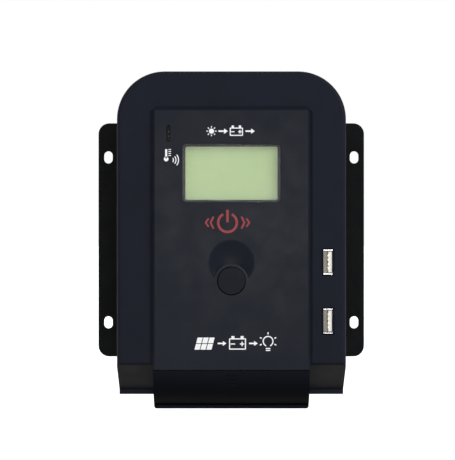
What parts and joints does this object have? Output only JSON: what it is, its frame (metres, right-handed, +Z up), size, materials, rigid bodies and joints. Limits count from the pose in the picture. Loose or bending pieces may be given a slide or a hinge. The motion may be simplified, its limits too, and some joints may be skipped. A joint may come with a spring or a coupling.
{
  "type": "charge controller",
  "caption": "Wall-hung solar charge controller: round-shouldered black case on a slotted plate, display, button, USB sockets and a sliding terminal cover.",
  "frame": {"origin": "centre of the mounting plate's rear face, on the wall plane", "axes": "+Z up, -Y out of the wall towards the viewer, +X to the viewer's right"},
  "size_m": [0.148, 0.0491, 0.1803],
  "materials": {
    "case_plastic": "satin moulded",
    "button_plastic": "satin moulded",
    "plate_paint": "fine black powder coat",
    "sink_aluminium": "extruded",
    "zinc_steel": "zinc plated",
    "board_laminate": "solder mask",
    "black_plastic": "moulded",
    "terminal_plastic": "moulded",
    "white_plastic": "moulded",
    "copper": "bare copper",
    "gold_contact": "gold flashed",
    "socket_steel": "nickel plated",
    "clear_pane": "clear",
    "display_green": "reflective display",
    "strip_rubber": "smooth",
    "ferrite": "coated powder core",
    "terminal_steel": "nickel plated"
  },
  "bodies": {
    "case": {"board_header": "gold_contact", "board_screws": "zinc_steel", "board_socket": "black_plastic", "board_standoffs": "zinc_steel", "capacitors": "black_plastic", "case_screws": "zinc_steel", "choke_core": "ferrite", "choke_winding": "copper", "contact_strips": "strip_rubber", "controller_chip": "black_plastic", "display_board": "board_laminate", "display_board_screws": "zinc_steel", "display_frame": "black_plastic", "display_glass": "display_green", "display_window": "clear_pane", "driver_chips": "black_plastic", "front_cover": "case_plastic", "fuse_clips": "gold_contact", "fuses": "clear_pane", "heat_sink": "sink_aluminium", "insulating_sheet": "strip_rubber", "light_guide": "white_plastic", "main_board": "board_laminate", "mounting_plate": "plate_paint", "plate_screws": "zinc_steel", "power_transistors": "black_plastic", "push_switch": "black_plastic", "sensor_pins": "gold_contact", "sensor_socket": "white_plastic", "shunts": "copper", "terminal_bars": "copper", "terminal_block": "terminal_plastic", "transistor_screws": "zinc_steel", "usb_board": "board_laminate", "usb_board_screws": "zinc_steel", "usb_contacts": "gold_contact", "usb_header": "gold_contact", "usb_shell_lower": "socket_steel", "usb_shell_upper": "socket_steel", "usb_tongue_lower": "white_plastic", "usb_tongue_upper": "white_plastic"},
    "cable_cover": {"terminal_cover": "case_plastic"},
    "button": {"button_cap": "button_plastic", "switch_plunger": "white_plastic"},
    "clamp_screw_1": {"terminal_screw_1": "terminal_steel"},
    "clamp_cage_1": {"terminal_cage_1": "terminal_steel"},
    "clamp_screw_2": {"terminal_screw_2": "terminal_steel"},
    "clamp_cage_2": {"terminal_cage_2": "terminal_steel"},
    "clamp_screw_3": {"terminal_screw_3": "terminal_steel"},
    "clamp_cage_3": {"terminal_cage_3": "terminal_steel"},
    "clamp_screw_4": {"terminal_screw_4": "terminal_steel"},
    "clamp_cage_4": {"terminal_cage_4": "terminal_steel"},
    "clamp_screw_5": {"terminal_screw_5": "terminal_steel"},
    "clamp_cage_5": {"terminal_cage_5": "terminal_steel"},
    "clamp_screw_6": {"terminal_screw_6": "terminal_steel"},
    "clamp_cage_6": {"terminal_cage_6": "terminal_steel"}
  },
  "joints": [
    {"name": "cable_cover_slide", "type": "slide", "parent": "case", "child": "cable_cover", "axis": [0, 0, -1], "range_m": [0, 0.024]},
    {"name": "button_press", "type": "slide", "parent": "case", "child": "button", "axis": [0, 1, 0], "range_m": [0, 0.0008], "stiffness_N_per_m": 600},
    {"name": "clamp_screw_1_turn", "type": "hinge", "parent": "case", "child": "clamp_screw_1", "pos_m": [-0.03125, -0.0382, -0.0725], "axis": [0, 1, 0], "range_deg": [0, 1440]},
    {"name": "clamp_cage_1_lift", "type": "slide", "parent": "case", "child": "clamp_cage_1", "axis": [0, -1, 0], "range_m": [0, 0.0028]},
    {"name": "clamp_screw_2_turn", "type": "hinge", "parent": "case", "child": "clamp_screw_2", "pos_m": [-0.01875, -0.0382, -0.0725], "axis": [0, 1, 0], "range_deg": [0, 1440]},
    {"name": "clamp_cage_2_lift", "type": "slide", "parent": "case", "child": "clamp_cage_2", "axis": [0, -1, 0], "range_m": [0, 0.0028]},
    {"name": "clamp_screw_3_turn", "type": "hinge", "parent": "case", "child": "clamp_screw_3", "pos_m": [-0.00625, -0.0382, -0.0725], "axis": [0, 1, 0], "range_deg": [0, 1440]},
    {"name": "clamp_cage_3_lift", "type": "slide", "parent": "case", "child": "clamp_cage_3", "axis": [0, -1, 0], "range_m": [0, 0.0028]},
    {"name": "clamp_screw_4_turn", "type": "hinge", "parent": "case", "child": "clamp_screw_4", "pos_m": [0.00625, -0.0382, -0.0725], "axis": [0, 1, 0], "range_deg": [0, 1440]},
    {"name": "clamp_cage_4_lift", "type": "slide", "parent": "case", "child": "clamp_cage_4", "axis": [0, -1, 0], "range_m": [0, 0.0028]},
    {"name": "clamp_screw_5_turn", "type": "hinge", "parent": "case", "child": "clamp_screw_5", "pos_m": [0.01875, -0.0382, -0.0725], "axis": [0, 1, 0], "range_deg": [0, 1440]},
    {"name": "clamp_cage_5_lift", "type": "slide", "parent": "case", "child": "clamp_cage_5", "axis": [0, -1, 0], "range_m": [0, 0.0028]},
    {"name": "clamp_screw_6_turn", "type": "hinge", "parent": "case", "child": "clamp_screw_6", "pos_m": [0.03125, -0.0382, -0.0725], "axis": [0, 1, 0], "range_deg": [0, 1440]},
    {"name": "clamp_cage_6_lift", "type": "slide", "parent": "case", "child": "clamp_cage_6", "axis": [0, -1, 0], "range_m": [0, 0.0028]}
  ],
  "couplings": [
    {"joint": "clamp_screw_1_turn", "follows": "clamp_cage_1_lift", "rad_per_m": 8976},
    {"joint": "clamp_screw_2_turn", "follows": "clamp_cage_2_lift", "rad_per_m": 8976},
    {"joint": "clamp_screw_3_turn", "follows": "clamp_cage_3_lift", "rad_per_m": 8976},
    {"joint": "clamp_screw_4_turn", "follows": "clamp_cage_4_lift", "rad_per_m": 8976},
    {"joint": "clamp_screw_5_turn", "follows": "clamp_cage_5_lift", "rad_per_m": 8976},
    {"joint": "clamp_screw_6_turn", "follows": "clamp_cage_6_lift", "rad_per_m": 8976}
  ]
}
